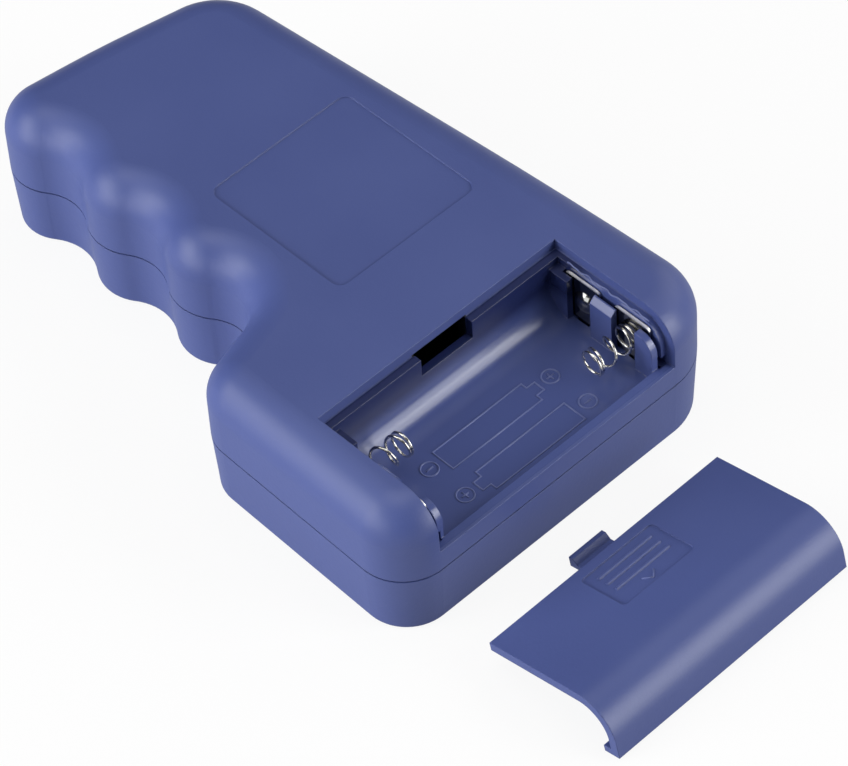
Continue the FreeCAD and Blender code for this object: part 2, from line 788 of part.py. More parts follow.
def build_lamp(x, y):
    """Round indicator lamp: dome towards the front face, with a flange at its root."""
    radius = lamp_diameter / 2
    dome_z = lamp_recess + radius
    root = lamp_recess + lamp_length
    lamp = Part.makeSphere(radius, FreeCAD.Vector(x, y, dome_z))
    lamp = lamp.fuse(post(x, y, dome_z, root, lamp_diameter))
    flange = post(x, y, root - lamp_flange_height, root, lamp_flange_diameter)
    return lamp.fuse(flange).removeSplitter()


def build_lamp_leads():
    """Square lamp leads, from the lamps through the board."""
    root = lamp_recess + lamp_length
    half = lamp_lead / 2
    leads = []
    for _, x, y in lamp_places:
        for side in (-1, 1):
            lead_x = x + side * lamp_lead_pitch / 2
            leads.append(box(lead_x - half, lead_x + half, y - half, y + half, root, board_top + overcut))
    return Part.makeCompound(leads)


def slider_face_x():
    """Inner end of the power switch's lever slot, where the switch body ends."""
    return thumb_side_x(slider_y, board_height - slider_height) - wall - slider_room


def build_slider_body():
    """Slide switch body under the board edge, with a slot for its lever."""
    face = slider_face_x()
    low = board_height - slider_height
    body = box(face - slider_depth, face, slider_y - slider_length / 2, slider_y + slider_length / 2,
               low, board_height)
    slot_half = (lever_width + lever_travel) / 2 + lever_gap
    lever_z = board_height - slider_height / 2
    return body.cut(
        box(face - lever_root - lever_gap, face + overcut, slider_y - slot_half, slider_y + slot_half,
            lever_z - lever_height / 2 - lever_gap, lever_z + lever_height / 2 + lever_gap)
    )


def build_lever():
    """Lever of the power switch, at the off end of its slot, ribbed where the thumb pushes it."""
    face = slider_face_x()
    outer = thumb_side_x(slider_y, board_height - slider_height / 2) + lever_proud
    low_y = slider_y - (lever_width + lever_travel) / 2
    lever_z = board_height - slider_height / 2
    lever = box(face - lever_root, outer, low_y, low_y + lever_width,
                lever_z - lever_height / 2, lever_z + lever_height / 2)
    tip_edges = [edge for edge in lever.Edges if edge.BoundBox.XMin > outer - 1e-6]
    return lever.makeChamfer(lever_chamfer, tip_edges)


def build_coil():
    """Flat ring of fine wire, wound round the locating ring under the plain field."""
    low = back_inside - coil_height
    ring = post(field_x, field_y, low, back_inside, coil_outer_diameter)
    ring = ring.cut(post(field_x, field_y, low - overcut, back_inside + overcut, coil_inner_diameter))
    return ring.makeFillet(coil_edge_radius, rim(ring, low))


def build_coil_leads():
    """Pair of fine leads from the coil down to the board."""
    middle = (coil_outer_diameter + coil_inner_diameter) / 4
    top = back_inside - coil_height
    drop = top - board_top
    leads = []
    for side in (-1, 1):
        x = field_x + middle
        y = field_y + side * coil_lead_spacing / 2
        leads.append(round_lead(
            [FreeCAD.Vector(x, y, top), FreeCAD.Vector(x, y, top - drop / 3),
             FreeCAD.Vector(x - coil_lead_spacing, y, board_top + drop / 3),
             FreeCAD.Vector(x - coil_lead_spacing, y, board_top)],
            coil_lead_diameter,
        ))
    return Part.makeCompound(leads)


def build_battery_lead(y):
    """Short lead in three runs: away from a contact's tail, down a slope and flat on the board."""
    pad_z = board_top + battery_lead_diameter / 2 + battery_lead_seat
    heights = (battery_lead_z, battery_lead_z, pad_z, pad_z)
    points = [FreeCAD.Vector(right_plate_x - step * battery_lead_run, y, z) for step, z in enumerate(heights)]
    return round_lead(points, battery_lead_diameter)


def chip_body(place, size):
    """Moulded chip body with a chamfered top, standing on its pins."""
    x, y = place
    length, width, height = size
    body = box(x - length / 2, x + length / 2, y - width / 2, y + width / 2,
               board_top + pin_width / 2, board_top + height)
    return body.makeChamfer(chip_chamfer, rim(body, board_top + height))


def chip_pins(place, size, count):
    """Two rows of bent pins beside a chip body."""
    x, y = place
    width = size[1]
    bend = pin_reach / 2
    sheet = pin_width / 2
    profile = [
        (0, pin_height - pin_width), (0, pin_height), (bend, pin_height), (bend, sheet),
        (pin_reach, sheet), (pin_reach, 0), (bend - sheet, 0), (bend - sheet, pin_height - pin_width),
    ]
    pins = []
    for side in (-1, 1):
        for step in range(count):
            pin_x = x + (step - (count - 1) / 2) * pin_pitch - pin_width / 2
            face = y + side * width / 2
            points = [FreeCAD.Vector(pin_x, face + side * out, board_top + up) for out, up in profile]
            pins.append(sheet_profile(points, FreeCAD.Vector(pin_width, 0, 0)))
    return pins


def build_crystal():
    """Low metal can of the crystal, with rounded ends and a rolled base."""
    x, y = crystal_place
    length, width, height = crystal_size
    base = rounded_slab(x, y, length, width, width / 2, board_top, board_top + crystal_rim_height)
    can_width = width - 2 * crystal_rim
    can_length = length - 2 * crystal_rim
    can = rounded_slab(x, y, can_length, can_width, can_width / 2, board_top, board_top + height)
    can = can.makeFillet(crystal_edge_radius, rim(can, board_top + height))
    return base.fuse(can).removeSplitter()


def build_capacitors():
    """Round cans on square bases."""
    cans = []
    for x, y in capacitor_places:
        half = capacitor_diameter / 2
        base = box(x - half, x + half, y - half, y + half, board_top, board_top + capacitor_base)
        can = post(x, y, board_top, board_top + capacitor_height, capacitor_diameter)
        can = can.makeFillet(capacitor_edge_radius, rim(can, board_top + capacitor_height))
        cans.append(base.fuse(can).removeSplitter())
    return Part.makeCompound(cans)


def build_sounder():
    """Round sounder with its sound hole on top."""
    x, y = sounder_place
    top = board_top + sounder_height
    body = post(x, y, board_top, top, sounder_diameter)
    body = body.makeFillet(sounder_edge_radius, rim(body, top))
    return body.cut(post(x, y, top - sounder_hole_depth, top + overcut, sounder_hole))


def build_chip_parts():
    """Small resistors and capacitors in rows on the board."""
    length, width, height = chip_part_size
    parts = []
    for row_x, row_y in chip_part_rows:
        for step in range(chip_part_count):
            x = row_x + step * chip_part_pitch
            parts.append(box(x - length / 2, x + length / 2, row_y - width / 2, row_y + width / 2,
                             board_top, board_top + height))
    return Part.makeCompound(parts)


nodes = {
    "rear_shell": build_rear_shell(),
    "front_shell": build_front_shell(),
    "battery_door": lay_door_down(build_battery_door()),
    "circuit_board": build_board(),
    "board_screws": build_screws(),
    "lamp_leads": build_lamp_leads(),
    "power_switch_body": build_slider_body(),
    "power_switch_lever": build_lever(),
    "antenna_coil": build_coil(),
    "coil_leads": build_coil_leads(),
    "red_battery_lead": build_battery_lead(upper_row_y),
    "black_battery_lead": build_battery_lead(lower_row_y),
    "microcontroller": chip_body(controller_place, controller_size),
    "reader_chip": chip_body(reader_chip_place, reader_chip_size),
    "chip_pins": Part.makeCompound(
        chip_pins(controller_place, controller_size, controller_pin_count)
        + chip_pins(reader_chip_place, reader_chip_size, reader_chip_pin_count)
    ),
    "crystal": build_crystal(),
    "capacitors": build_capacitors(),
    "sounder": build_sounder(),
    "chip_parts": build_chip_parts(),
}
nodes.update(build_contacts())
for name, x, y in button_places:
    nodes[name + "_button"] = build_button(x, y)
    nodes[name + "_switch"] = build_key(x, y)
    nodes[name + "_plunger"] = build_plunger(x, y)
for name, x, y in lamp_places:
    nodes[name + "_lamp"] = build_lamp(x, y)

os.makedirs("parts", exist_ok=True)
for name, shape in nodes.items():
    shape.exportStep("parts/" + name + ".step")
    print(name, len(shape.Solids), "solid", round(shape.Volume, 2), "mm3", shape.isValid())
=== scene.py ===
"""Looks of a hand-held tester that lies on its face beside its battery door.

Metres, in the frame's own axes: +X to the thumb side, +Y along the grip, +Z up through the back.
"""
import json
import math

import bpy
import numpy as np
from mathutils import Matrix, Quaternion, Vector


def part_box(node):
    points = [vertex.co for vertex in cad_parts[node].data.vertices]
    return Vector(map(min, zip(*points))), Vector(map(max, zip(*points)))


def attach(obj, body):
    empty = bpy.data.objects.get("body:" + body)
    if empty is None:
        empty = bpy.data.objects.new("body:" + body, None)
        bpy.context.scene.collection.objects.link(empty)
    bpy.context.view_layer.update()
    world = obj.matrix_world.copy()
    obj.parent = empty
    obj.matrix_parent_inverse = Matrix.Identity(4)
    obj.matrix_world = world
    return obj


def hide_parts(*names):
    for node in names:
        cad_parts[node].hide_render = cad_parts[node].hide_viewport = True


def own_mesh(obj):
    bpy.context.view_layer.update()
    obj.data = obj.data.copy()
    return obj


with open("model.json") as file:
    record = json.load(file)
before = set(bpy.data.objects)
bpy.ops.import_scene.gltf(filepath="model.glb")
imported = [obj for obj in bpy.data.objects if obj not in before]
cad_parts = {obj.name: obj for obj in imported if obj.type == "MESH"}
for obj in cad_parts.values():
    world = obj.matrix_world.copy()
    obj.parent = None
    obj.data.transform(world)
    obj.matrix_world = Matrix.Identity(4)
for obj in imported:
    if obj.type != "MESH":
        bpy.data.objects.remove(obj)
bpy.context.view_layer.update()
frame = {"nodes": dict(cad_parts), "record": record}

MM = 0.001

# View of the photograph
camera_place = (-0.33456, -0.40957, 0.58788)
camera_aim = (0.00327, -0.02099, 0.0)
camera_roll_deg = -4.17
camera_lens = 200.95
camera_sensor = 36.0

# Battery bay: its floor, the ledge of the door seat and the box that its smooth walls lie in
bay_floor_z = 15.0 * MM
ledge_z = 25.6 * MM
bay_centre = (-2.8 * MM, -45.6 * MM, 20.5 * MM)
bay_half = (26.1 * MM, 13.0 * MM, 6.4 * MM)

# Latch slot and the bay's wall below it: the box and the spans that they lie in, and the painted shade in
# them
slot_centre = (-2.8 * MM, -31.3 * MM, 21.8 * MM)
slot_half = (6.0 * MM, 1.3 * MM, 3.9 * MM)
slot_shade = (0.004, 0.005, 0.012)
wall_y = (-42.0 * MM, -38.0 * MM)
wall_z = (17.5 * MM, 21.5 * MM)
wall_shade = (0.014, 0.021, 0.082)

# Blue plastic: its skin outside, and the shares of roughness and grain that are left in the smooth bay
skin_dark = (0.052, 0.073, 0.222)
skin_light = (0.066, 0.091, 0.258)
skin_rough = (0.36, 0.46)
skin_grain_scale = 2400.0
skin_tone_scale = 45.0
skin_grain_depth = 0.03 * MM
skin_grain_strength = 0.55
skin_edge_radius = 0.22 * MM
skin_edge_samples = 6
skin_specular = 0.5
bay_rough_share = 0.60
bay_grain_share = 0.15
bay_coat = 0.15
bay_coat_rough = 0.26

# Grain of every moulding: the scale of its coarse pits as a share of the fine ones'
coarse_pit_share = 0.35

# Grain of the plain mouldings, and streaks of the metals
moulding_grain_scale = 2600.0
moulding_tone_scale = 220.0
moulding_depth = 0.02 * MM
moulding_strength = 0.15
metal_speck_scale = 1400.0
metal_depth = 0.01 * MM
metal_strength = 0.12

# Contact plates' dull mirror with a painted highlight along their top edge, and the lamps' gloss
plate_dark = (0.20, 0.20, 0.20)
plate_light = (0.30, 0.30, 0.29)
plate_rough = (0.08, 0.16)
plate_stretch = (3000.0, 160.0, 2600.0)
plate_edge = 0.45 * MM
painted_edge_highlight = (0.95, 0.94, 0.91)
edge_rough = 0.5
lens_rough = (0.10, 0.18)
lens_strength = 0.05
lens_coat = 0.5

# Copper winding in lacquer, and the green resist over the board's weave
winding_dark = (0.36, 0.11, 0.035)
winding_light = (0.58, 0.22, 0.08)
winding_rough = (0.22, 0.38)
winding_stretch = (400.0, 400.0, 900.0)
winding_depth = 0.08 * MM
winding_strength = 0.5
winding_metallic = 0.85
resist_dark = (0.012, 0.095, 0.035)
resist_light = (0.022, 0.145, 0.055)
resist_rough = (0.24, 0.36)
weave_depth = 0.015 * MM
weave_strength = 0.2

# Raised ridges: the axes of a level one, and the points over its back and round a ring
level = ((1, 0, 0), (0, 1, 0), (0, 0, 1))
ridge_points = 7
ring_points = 32

# Raised marks on the bay floor: a cell's outline in each row, and a sign at each end
mark_width = 0.29 * MM
mark_height = 0.20 * MM
mark_sink = 0.05 * MM
cell_length = 19.9 * MM
cell_width = 4.8 * MM
nub_length = 1.75 * MM
nub_width = 2.25 * MM
cell_marks = (((-14.7 * MM, -44.85 * MM), 1), ((7.08 * MM, -52.7 * MM), -1))
sign_radius = 1.5 * MM
sign_stroke = 0.75 * MM
minus_places = ((-17.4 * MM, -44.6 * MM), (10.0 * MM, -52.8 * MM))
plus_places = ((-17.2 * MM, -52.5 * MM), (9.6 * MM, -44.7 * MM))

# Arrow on the door's sunk pad, which slopes as the door lies
arrow_tip = (-4.16 * MM, -80.97 * MM, 7.08 * MM)
arrow_arm = 1.35 * MM
pad_along = (1.0, 0.0087, 0.0)
pad_normal = (-0.0018, 0.2111, 0.9775)
arrow_width = 0.26 * MM

# Moulding flash along the rim of the bay's thumb end
flash_x = 22.42 * MM
flash_y = (-36.2 * MM, -54.6 * MM)
flash_sway = 0.13 * MM
flash_width = 0.22 * MM
flash_points = 60
flash_wave = 31.0
flash_ripple = 53.0
flash_ripple_share = 0.6
flash_ripple_start = 1.0

# Coil springs: closed turns at both ends and open turns between
spring_wire = 0.50 * MM
spring_turns_base = 1.0
spring_turns_open = 2.5
spring_turns_tip = 1.1
spring_closed_pitch = 1.02 * spring_wire
spring_steps = 40
spring_sides = 14

# Sockets for colours on a Mix node, which go by number
mix_first = 6
mix_second = 7
mix_result = 2


# Node helpers

def add_node(tree, kind, **settings):
    """New node of a kind, with its own properties set."""
    node = tree.nodes.new(kind)
    for key, value in settings.items():
        setattr(node, key, value)
    return node


def set_inputs(node, **values):
    """Sets a node's sockets by name, with _ for a space."""
    for key, value in values.items():
        node.inputs[key.replace("_", " ")].default_value = value
    return node


def make_material(name):
    """New node material with its tree and its Principled shader."""
    material = bpy.data.materials.new(name)
    material.use_nodes = True
    return material, material.node_tree, material.node_tree.nodes["Principled BSDF"]


def new_group(name, inputs, outputs):
    """Empty node group with named sockets of (name, kind), and its input and output nodes."""
    group = bpy.data.node_groups.new(name, "ShaderNodeTree")
    for socket, kind in inputs:
        group.interface.new_socket(socket, in_out="INPUT", socket_type="NodeSocket" + kind)
    for socket, kind in outputs:
        group.interface.new_socket(socket, in_out="OUTPUT", socket_type="NodeSocket" + kind)
    return group, add_node(group, "NodeGroupInput"), add_node(group, "NodeGroupOutput")


def place_group(tree, group, vector, **values):
    """Shared group in a material, fed with coordinates and its own values."""
    node = set_inputs(add_node(tree, "ShaderNodeGroup", node_tree=group), **values)
    tree.links.new(vector, node.inputs["Vector"])
    return node


def object_coordinates(tree):
    """The piece's own coordinates, which are the frame's."""
    return add_node(tree, "ShaderNodeTexCoord").outputs["Object"]


def spread(tree, source, low, high):
    """Value from 0..1 spread linearly over low..high."""
    node = set_inputs(add_node(tree, "ShaderNodeMapRange"), To_Min=low, To_Max=high)
    tree.links.new(source, node.inputs["Value"])
    return node.outputs["Result"]


def two_tone(tree, factor, dark, light):
    """Colour between two tones by a factor."""
    node = add_node(tree, "ShaderNodeMix", data_type="RGBA")
    node.inputs[mix_first].default_value = (*dark, 1.0)
    node.inputs[mix_second].default_value = (*light, 1.0)
    tree.links.new(factor, node.inputs["Factor"])
    return node.outputs[mix_result]


def toned(tree, factor, colour, tone):
    """Colour that turns to a fixed tone where the factor is 1."""
    node = add_node(tree, "ShaderNodeMix", data_type="RGBA")
    node.inputs[mix_second].default_value = (*tone, 1.0)
    tree.links.new(factor, node.inputs["Factor"])
    tree.links.new(colour, node.inputs[mix_first])
    return node.outputs[mix_result]


def fade(tree, source, span):
    """Smooth rise from 0 to 1 as a value crosses a span."""
    node = set_inputs(add_node(tree, "ShaderNodeMapRange", interpolation_type="SMOOTHSTEP"),
                      From_Min=span[0], From_Max=span[1])
    tree.links.new(source, node.inputs["Value"])
    return node.outputs["Result"]


def arithmetic(tree, operation, first, second):
    """Math node on two sockets or numbers."""
    node = add_node(tree, "ShaderNodeMath", operation=operation)
    for socket, value in zip(node.inputs, (first, second)):
        if isinstance(value, (int, float)):
            socket.default_value = value
        else:
            tree.links.new(value, socket)
    return node.outputs[0]


def bump_from(tree, height, distance, strength, normal=None):
    """Normal bent by a height, over another normal where one is given."""
    node = set_inputs(add_node(tree, "ShaderNodeBump"), Distance=distance, Strength=strength)
    tree.links.new(height, node.inputs["Height"])
    if normal is not None:
        tree.links.new(normal, node.inputs["Normal"])
    return node.outputs["Normal"]


# Shared surface effects

def moulded_grain_group():
    """Spark-eroded mould texture: two sizes of pits as Height, broad uneven gloss as Tone."""
    group, source, result = new_group(
        "moulded_grain",
        [("Vector", "Vector"), ("Grain Scale", "Float"), ("Tone Scale", "Float")],
        [("Height", "Float"), ("Tone", "Float")],
    )
    fine = set_inputs(add_node(group, "ShaderNodeTexNoise"), Detail=2.0)
    coarse = set_inputs(add_node(group, "ShaderNodeTexNoise"), Detail=1.0)
    tone = set_inputs(add_node(group, "ShaderNodeTexNoise"), Detail=3.0)
    for node in (fine, coarse, tone):
        group.links.new(source.outputs["Vector"], node.inputs["Vector"])
    group.links.new(source.outputs["Grain Scale"], fine.inputs["Scale"])
    coarse_scale = arithmetic(group, "MULTIPLY", source.outputs["Grain Scale"], coarse_pit_share)
    group.links.new(coarse_scale, coarse.inputs["Scale"])
    group.links.new(source.outputs["Tone Scale"], tone.inputs["Scale"])
    height = arithmetic(group, "ADD", fine.outputs["Fac"], coarse.outputs["Fac"])
    group.links.new(height, result.inputs["Height"])
    group.links.new(tone.outputs["Fac"], result.inputs["Tone"])
    return group


def drawn_metal_group():
    """Streaks of rolled or drawn metal: noise stretched by Stretch as Streak, and small specks as Speck."""
    group, source, result = new_group(
        "drawn_metal",
        [("Vector", "Vector"), ("Stretch", "Vector"), ("Speck Scale", "Float")],
        [("Streak", "Float"), ("Speck", "Float")],
    )
    stretched = add_node(group, "ShaderNodeVectorMath", operation="MULTIPLY")
    group.links.new(source.outputs["Vector"], stretched.inputs[0])
    group.links.new(source.outputs["Stretch"], stretched.inputs[1])
    streak = set_inputs(add_node(group, "ShaderNodeTexNoise"), Scale=1.0, Detail=3.0)
    group.links.new(stretched.outputs["Vector"], streak.inputs["Vector"])
    speck = set_inputs(add_node(group, "ShaderNodeTexNoise"), Detail=1.0)
    group.links.new(source.outputs["Vector"], speck.inputs["Vector"])
    group.links.new(source.outputs["Speck Scale"], speck.inputs["Scale"])
    group.links.new(streak.outputs["Fac"], result.inputs["Streak"])
    group.links.new(speck.outputs["Fac"], result.inputs["Speck"])
    return group


def inside_box_group():
    """Mask that is 1 inside a box: where the largest of |Vector - Centre| - Half is below zero."""
    group, source, result = new_group(
        "inside_box",
        [("Vector", "Vector"), ("Centre", "Vector"), ("Half", "Vector")],
        [("Mask", "Float")],
    )
    offset = add_node(group, "ShaderNodeVectorMath", operation="SUBTRACT")
    group.links.new(source.outputs["Vector"], offset.inputs[0])
    group.links.new(source.outputs["Centre"], offset.inputs[1])
    size = add_node(group, "ShaderNodeVectorMath", operation="ABSOLUTE")
    group.links.new(offset.outputs["Vector"], size.inputs[0])
    beyond = add_node(group, "ShaderNodeVectorMath", operation="SUBTRACT")
    group.links.new(size.outputs["Vector"], beyond.inputs[0])
    group.links.new(source.outputs["Half"], beyond.inputs[1])
    parts = add_node(group, "ShaderNodeSeparateXYZ")
    group.links.new(beyond.outputs["Vector"], parts.inputs["Vector"])
    largest = arithmetic(group, "MAXIMUM", parts.outputs["X"], parts.outputs["Y"])
    largest = arithmetic(group, "MAXIMUM", largest, parts.outputs["Z"])
    group.links.new(arithmetic(group, "LESS_THAN", largest, 0.0), result.inputs["Mask"])
    return group


moulded_grain = moulded_grain_group()
drawn_metal = drawn_metal_group()
inside_box = inside_box_group()


# Finishes

def blue_plastic():
    """Dark blue ABS: satin grain outside, smoother walls in the bay, edges left round by the mould, and
    painted shade on the bay's latch wall and in the latch slot.
    """
    material, tree, shader = make_material("blue_abs")
    place = object_coordinates(tree)
    grain = place_group(tree, moulded_grain, place, Grain_Scale=skin_grain_scale,
                        Tone_Scale=skin_tone_scale)
    bay = place_group(tree, inside_box, place, Centre=bay_centre, Half=bay_half)
    slot = place_group(tree, inside_box, place, Centre=slot_centre, Half=slot_half)
    skin = two_tone(tree, grain.outputs["Tone"], skin_dark, skin_light)
    # Painted shade: the bay's latch wall darkens towards its top and back, and the latch slot is painted
    # near black
    parts = add_node(tree, "ShaderNodeSeparateXYZ")
    tree.links.new(place, parts.inputs["Vector"])
    up = fade(tree, parts.outputs["Z"], wall_z)
    back = fade(tree, parts.outputs["Y"], wall_y)
    wall = arithmetic(tree, "MULTIPLY", arithmetic(tree, "MULTIPLY", up, back), bay.outputs["Mask"])
    wall_shaded = toned(tree, wall, skin, wall_shade)
    shaded = toned(tree, slot.outputs["Mask"], wall_shaded, slot_shade)
    tree.links.new(shaded, shader.inputs["Base Color"])
    rough = spread(tree, grain.outputs["Tone"], *skin_rough)
    smooth = spread(tree, bay.outputs["Mask"], 1.0, bay_rough_share)
    tree.links.new(arithmetic(tree, "MULTIPLY", rough, smooth), shader.inputs["Roughness"])
    rounded = add_node(tree, "ShaderNodeBevel", samples=skin_edge_samples)
    set_inputs(rounded, Radius=skin_edge_radius)
    depth = spread(tree, bay.outputs["Mask"], 1.0, bay_grain_share)
    height = arithmetic(tree, "MULTIPLY", grain.outputs["Height"], depth)
    normal = bump_from(tree, height, skin_grain_depth, skin_grain_strength, rounded.outputs["Normal"])
    tree.links.new(normal, shader.inputs["Normal"])
    tree.links.new(spread(tree, bay.outputs["Mask"], 0.0, bay_coat), shader.inputs["Coat Weight"])
    shader.inputs["Coat Roughness"].default_value = bay_coat_rough
    shader.inputs["Specular IOR Level"].default_value = skin_specular
    return material


def moulding(name, dark, light, rough, strength=moulding_strength):
    """Plain moulded or painted finish with a fine grain and an uneven gloss."""
    material, tree, shader = make_material(name)
    grain = place_group(tree, moulded_grain, object_coordinates(tree), Grain_Scale=moulding_grain_scale,
                        Tone_Scale=moulding_tone_scale)
    tree.links.new(two_tone(tree, grain.outputs["Tone"], dark, light), shader.inputs["Base Color"])
    tree.links.new(spread(tree, grain.outputs["Tone"], *rough), shader.inputs["Roughness"])
    normal = bump_from(tree, grain.outputs["Height"], moulding_depth, strength)
    tree.links.new(normal, shader.inputs["Normal"])
    return material


def metal(name, dark, light, rough, stretch):
    """Bare or plated metal with streaks along its working direction and small specks."""
    material, tree, shader = make_material(name)
    drawn = place_group(tree, drawn_metal, object_coordinates(tree), Stretch=stretch,
                        Speck_Scale=metal_speck_scale)
    tree.links.new(two_tone(tree, drawn.outputs["Streak"], dark, light), shader.inputs["Base Color"])
    tree.links.new(spread(tree, drawn.outputs["Speck"], *rough), shader.inputs["Roughness"])
    normal = bump_from(tree, drawn.outputs["Streak"], metal_depth, metal_strength)
    tree.links.new(normal, shader.inputs["Normal"])
    shader.inputs["Metallic"].default_value = 1.0
    return material


def plate_nickel():
    """Plated steel that mirrors the dark bay, with a painted highlight along the plates' top edge."""
    material = metal("nickel_plate", plate_dark, plate_light, plate_rough, plate_stretch)
    tree = material.node_tree
    shader = tree.nodes["Principled BSDF"]
    parts = add_node(tree, "ShaderNodeSeparateXYZ")
    tree.links.new(object_coordinates(tree), parts.inputs["Vector"])
    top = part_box("positive_contact")[1][2]
    # Painted highlight: a near-white band along the top edge of the plates
    edge = fade(tree, parts.outputs["Z"], (top - plate_edge, top - plate_edge / 2))
    colour = shader.inputs["Base Color"].links[0].from_socket
    tree.links.new(toned(tree, edge, colour, painted_edge_highlight), shader.inputs["Base Color"])
    rough = shader.inputs["Roughness"].links[0].from_socket
    highlight_band_rough = arithmetic(tree, "MULTIPLY", edge, edge_rough)
    tree.links.new(arithmetic(tree, "MAXIMUM", rough, highlight_band_rough), shader.inputs["Roughness"])
    return material


def lamp_lens(name, dark, light):
    """Diffused lamp: tinted resin, cloudy in the mass and glossy outside."""
    material = moulding(name, dark, light, lens_rough, lens_strength)
    shader = material.node_tree.nodes["Principled BSDF"]
    shader.inputs["Coat Weight"].default_value = lens_coat
    return material


def enamelled_winding():
    """Copper wire in lacquer, wound round and round: fine rings about the coil's axis as relief."""
    material, tree, shader = make_material("copper_wire")
    place = object_coordinates(tree)
    low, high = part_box("antenna_coil")
    centre = [(a + b) / 2 for a, b in zip(low, high)]
    offset = add_node(tree, "ShaderNodeVectorMath", operation="SUBTRACT")
    tree.links.new(place, offset.inputs[0])
    offset.inputs[1].default_value = centre
    rings = set_inputs(add_node(tree, "ShaderNodeTexWave", wave_type="RINGS", rings_direction="Z"),
                       Scale=700.0, Distortion=0.6, Detail=1.0)
    tree.links.new(offset.outputs["Vector"], rings.inputs["Vector"])
    drawn = place_group(tree, drawn_metal, place, Stretch=winding_stretch, Speck_Scale=800.0)
    tree.links.new(two_tone(tree, drawn.outputs["Streak"], winding_dark, winding_light),
                   shader.inputs["Base Color"])
    tree.links.new(spread(tree, drawn.outputs["Speck"], *winding_rough), shader.inputs["Roughness"])
    normal = bump_from(tree, rings.outputs["Fac"], winding_depth, winding_strength)
    tree.links.new(normal, shader.inputs["Normal"])
    shader.inputs["Metallic"].default_value = winding_metallic
    return material


def solder_resist():
    """Green board: darker weave of the laminate showing through a glossy coat."""
    material, tree, shader = make_material("board_laminate")
    place = object_coordinates(tree)
    weave = set_inputs(add_node(tree, "ShaderNodeTexBrick", offset=0.5),
                       Scale=900.0, Mortar_Size=0.06, Brick_Width=0.8, Row_Height=0.4)
    tree.links.new(place, weave.inputs["Vector"])
    grain = place_group(tree, moulded_grain, place, Grain_Scale=1600.0, Tone_Scale=120.0)
    tree.links.new(two_tone(tree, grain.outputs["Tone"], resist_dark, resist_light),
                   shader.inputs["Base Color"])
    tree.links.new(spread(tree, grain.outputs["Tone"], *resist_rough), shader.inputs["Roughness"])
    normal = bump_from(tree, weave.outputs["Fac"], weave_depth, weave_strength)
    tree.links.new(normal, shader.inputs["Normal"])
    return material


# Each finish by its slot: dark and light tone, span of roughness and, on metals, the streaks' stretch
finishes = {
    "blue_abs": blue_plastic(),
    # Lighter blue of the raised marks, the door's arrow and the flash: a painted highlight on their tops
    "painted_highlight_blue": moulding("painted_highlight_blue", (0.095, 0.120, 0.290), (0.125, 0.155, 0.345), (0.34, 0.44)),
    "nickel_plate": plate_nickel(),
    "spring_wire": metal("spring_wire", (0.58, 0.57, 0.54), (0.72, 0.71, 0.68), (0.05, 0.10),
                         (250.0, 250.0, 250.0)),
    "zinc_screw": metal("zinc_screw", (0.48, 0.49, 0.50), (0.66, 0.66, 0.65), (0.22, 0.36),
                        (1200.0, 1200.0, 300.0)),
    "tinned_metal": metal("tinned_metal", (0.58, 0.58, 0.57), (0.72, 0.72, 0.70), (0.24, 0.40),
                          (900.0, 300.0, 900.0)),
    "capacitor_can": metal("capacitor_can", (0.62, 0.62, 0.63), (0.76, 0.76, 0.77), (0.20, 0.32),
                           (500.0, 500.0, 2500.0)),
    "copper_wire": enamelled_winding(),
    "board_laminate": solder_resist(),
    "chip_moulding": moulding("chip_moulding", (0.014, 0.014, 0.015), (0.026, 0.026, 0.027), (0.45, 0.60)),
    "switch_moulding": moulding("switch_moulding", (0.020, 0.020, 0.021), (0.034, 0.034, 0.035),
                                (0.38, 0.50)),
    "ceramic_chip": moulding("ceramic_chip", (0.22, 0.15, 0.10), (0.36, 0.26, 0.17), (0.35, 0.48)),
    "grey_button": moulding("grey_button", (0.40, 0.41, 0.43), (0.49, 0.50, 0.52), (0.42, 0.54)),
    "red_lens": lamp_lens("red_lens", (0.50, 0.022, 0.016), (0.62, 0.035, 0.026)),
    "amber_lens": lamp_lens("amber_lens", (0.62, 0.28, 0.016), (0.74, 0.36, 0.03)),
    "green_lens": lamp_lens("green_lens", (0.03, 0.36, 0.06), (0.05, 0.46, 0.09)),
    "red_lead": moulding("red_lead", (0.42, 0.015, 0.015), (0.54, 0.025, 0.022), (0.40, 0.52)),
    "black_lead": moulding("black_lead", (0.012, 0.012, 0.012), (0.024, 0.024, 0.024), (0.40, 0.52)),
}
for subpart in frame["record"]["subparts"]:
    node = frame["nodes"][subpart["node"]]
    node.data.materials.clear()
    node.data.materials.append(finishes[subpart["material_slot"]])


# Surfaces worked out as grids

def grid_faces(rows, columns, rows_closed, first):
    """Quads of a grid whose points count up from first; each row is a closed ring of columns."""
    row = np.arange(rows if rows_closed else rows - 1)[:, None]
    column = np.arange(columns)[None, :]
    next_row = (row + 1) % rows
    next_column = (column + 1) % columns
    here, there = row * columns, next_row * columns
    corners = np.broadcast_arrays(here + column, here + next_column, there + next_column, there + column)
    return (np.stack(corners, axis=-1).reshape(-1, 4) + first).tolist()


def add_piece(name, grids, slot, body, finish=None):
    """Mesh piece from grids of (points, rows_closed): rows of rings, with the ends of open rows capped."""
    points, faces = [], []
    count = 0
    for grid, rows_closed in grids:
        rows, columns = grid.shape[:2]
        faces += grid_faces(rows, columns, rows_closed, count)
        if not rows_closed:
            faces.append((np.arange(columns)[::-1] + count).tolist())
            faces.append((np.arange(columns) + count + (rows - 1) * columns).tolist())
        points.append(grid.reshape(-1, 3))
        count += rows * columns
    mesh = bpy.data.meshes.new(name)
    mesh.from_pydata(np.concatenate(points).tolist(), [], faces)
    mesh.polygons.foreach_set("use_smooth", np.ones(len(mesh.polygons), dtype=bool))
    mesh.update()
    mesh.materials.append(finishes[finish or slot])
    piece = bpy.data.objects.new(name, mesh)
    bpy.context.scene.collection.objects.link(piece)
    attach(piece, body)
    return piece


